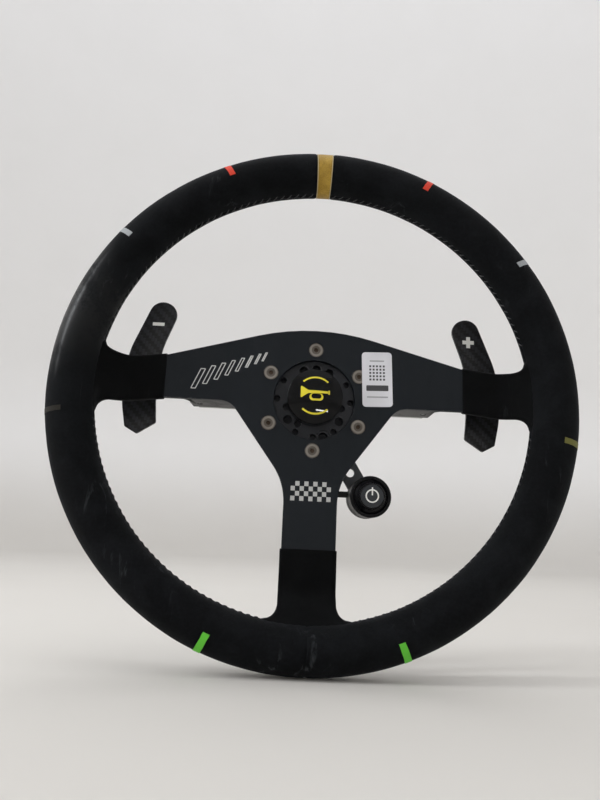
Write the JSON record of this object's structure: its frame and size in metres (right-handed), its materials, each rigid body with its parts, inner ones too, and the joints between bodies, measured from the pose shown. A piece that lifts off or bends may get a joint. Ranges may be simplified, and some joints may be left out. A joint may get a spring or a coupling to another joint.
{
  "type": "quick release steering wheel",
  "caption": "Round suede-covered steering wheel with a flat three-spoke plate, horn button, shift paddles, a button pod and a ball-lock quick release hub.",
  "frame": {"origin": "centre of the round mouth of the quick release bore, on the plane where the steering column's boss goes in", "axes": "+X to the driver's right, +Z to the crest of the rim, +Y away from the driver along the steering axis"},
  "size_m": [0.35, 0.1135, 0.3499],
  "materials": {
    "suede": "napped black suede, worn shiny where hands rest",
    "wrap_suede": "black suede wraps",
    "ochre_leather": "ochre leather marker",
    "tape": "coloured cloth tape",
    "hoop_metal": "plain",
    "foam": "moulded polyurethane",
    "plate_anodised": "satin dark grey anodised",
    "screw_steel": "dull steel",
    "label_film": "blank white label",
    "black_anodised": "satin black anodised",
    "horn_gloss": "high gloss black",
    "black_plastic": "moulded black plastic",
    "grey_plastic": "dark grey plastic",
    "spring_steel": "bright",
    "contact_brass": "plain",
    "silver_alu": "plain silver anodised",
    "lever_alu": "grey anodised",
    "magnet_nickel": "nickel plated",
    "board": "circuit board",
    "carbon": "twill carbon fibre under clear resin",
    "cable_rubber": "matt black"
  },
  "bodies": {
    "wheel": {"suede_left": "suede", "suede_right": "suede", "wrap_left": "wrap_suede", "wrap_right": "wrap_suede", "wrap_foot_spoke": "wrap_suede", "marker_band": "ochre_leather", "grip_tapes": "tape", "rim_core": "hoop_metal", "rim_foam": "foam", "spoke_plate": "plate_anodised", "plate_screws": "screw_steel", "housing_screws": "screw_steel", "qr_screws": "screw_steel", "pod_arm_screws": "screw_steel", "pod_screw": "screw_steel", "stop_screws": "screw_steel", "plate_label": "label_film", "hub": "black_anodised", "housing_left": "black_anodised", "housing_right": "black_anodised", "pod_arm": "black_anodised", "horn_body": "black_plastic", "pod_body": "black_plastic", "pod_bezel": "black_plastic", "shift_switches": "black_plastic", "pod_switch": "black_plastic", "horn_spring": "spring_steel", "qr_spring": "spring_steel", "pod_spring": "spring_steel", "horn_snap_ring": "spring_steel", "qr_retaining_ring": "spring_steel", "pivot_pins": "spring_steel", "horn_contact": "contact_brass", "shifter_carrier": "silver_alu", "qr_body": "silver_alu", "housing_magnets": "magnet_nickel", "switch_boards": "board", "pod_cable": "cable_rubber", "pod_gland": "cable_rubber"},
    "horn_button": {"horn_cap": "horn_gloss", "cap_contact": "contact_brass"},
    "paddle_lever_left": {"lever_left": "lever_alu", "lever_magnet_left": "magnet_nickel", "paddle_left": "carbon", "paddle_screws_left": "screw_steel"},
    "paddle_lever_right": {"lever_right": "lever_alu", "lever_magnet_right": "magnet_nickel", "paddle_right": "carbon", "paddle_screws_right": "screw_steel"},
    "switch_plunger_left": {"plunger_left": "black_plastic"},
    "switch_plunger_right": {"plunger_right": "black_plastic"},
    "release_collar": {"qr_collar": "black_anodised"},
    "pod_push_button": {"pod_button": "black_plastic", "pod_face": "grey_plastic"},
    "lock_ball_1": {"ball_1": "spring_steel"},
    "lock_ball_2": {"ball_2": "spring_steel"},
    "lock_ball_3": {"ball_3": "spring_steel"},
    "lock_ball_4": {"ball_4": "spring_steel"},
    "lock_ball_5": {"ball_5": "spring_steel"},
    "lock_ball_6": {"ball_6": "spring_steel"}
  },
  "joints": [
    {"name": "horn_press", "type": "slide", "parent": "wheel", "child": "horn_button", "axis": [0, 1, 0], "range_m": [0, 0.0018], "stiffness_N_per_m": 900, "springref_m": -0.002, "deforming": ["horn_spring"]},
    {"name": "pod_press", "type": "slide", "parent": "wheel", "child": "pod_push_button", "axis": [0, 1, 0], "range_m": [0, 0.0015], "stiffness_N_per_m": 700, "springref_m": -0.002, "deforming": ["pod_spring"]},
    {"name": "paddle_pull_left", "type": "hinge", "parent": "wheel", "child": "paddle_lever_left", "pos_m": [-0.08, -0.061, 0.011], "axis": [0, 0, 1], "range_deg": [0, 5], "stiffness_Nm_per_rad": 3, "springref_deg": -2.86},
    {"name": "paddle_pull_right", "type": "hinge", "parent": "wheel", "child": "paddle_lever_right", "pos_m": [0.08, -0.061, 0.011], "axis": [0, 0, -1], "range_deg": [0, 5], "stiffness_Nm_per_rad": 3, "springref_deg": -2.86},
    {"name": "plunger_press_left", "type": "slide", "parent": "wheel", "child": "switch_plunger_left", "axis": [0, 1, 0], "range_m": [0, 0.0009]},
    {"name": "plunger_press_right", "type": "slide", "parent": "wheel", "child": "switch_plunger_right", "axis": [0, 1, 0], "range_m": [0, 0.0009]},
    {"name": "collar_pull", "type": "slide", "parent": "wheel", "child": "release_collar", "axis": [0, -1, 0], "range_m": [0, 0.007], "stiffness_N_per_m": 1200, "springref_m": -0.006, "deforming": ["qr_spring"]},
    {"name": "ball_out_1", "type": "slide", "parent": "wheel", "child": "lock_ball_1", "axis": [0.866, 0, 0.5], "range_m": [0, 0.00165]},
    {"name": "ball_out_2", "type": "slide", "parent": "wheel", "child": "lock_ball_2", "axis": [0, 0, 1], "range_m": [0, 0.00165]},
    {"name": "ball_out_3", "type": "slide", "parent": "wheel", "child": "lock_ball_3", "axis": [-0.866, 0, 0.5], "range_m": [0, 0.00165]},
    {"name": "ball_out_4", "type": "slide", "parent": "wheel", "child": "lock_ball_4", "axis": [-0.866, 0, -0.5], "range_m": [0, 0.00165]},
    {"name": "ball_out_5", "type": "slide", "parent": "wheel", "child": "lock_ball_5", "axis": [0, 0, -1], "range_m": [0, 0.00165]},
    {"name": "ball_out_6", "type": "slide", "parent": "wheel", "child": "lock_ball_6", "axis": [0.866, 0, -0.5], "range_m": [0, 0.00165]}
  ],
  "couplings": [
    {"joint": "plunger_press_left", "follows": "paddle_pull_left", "m_per_rad": 0.01},
    {"joint": "plunger_press_right", "follows": "paddle_pull_right", "m_per_rad": 0.01},
    {"joint": "ball_out_1", "follows": "collar_pull", "ratio": 0.23571},
    {"joint": "ball_out_2", "follows": "collar_pull", "ratio": 0.23571},
    {"joint": "ball_out_3", "follows": "collar_pull", "ratio": 0.23571},
    {"joint": "ball_out_4", "follows": "collar_pull", "ratio": 0.23571},
    {"joint": "ball_out_5", "follows": "collar_pull", "ratio": 0.23571},
    {"joint": "ball_out_6", "follows": "collar_pull", "ratio": 0.23571}
  ]
}
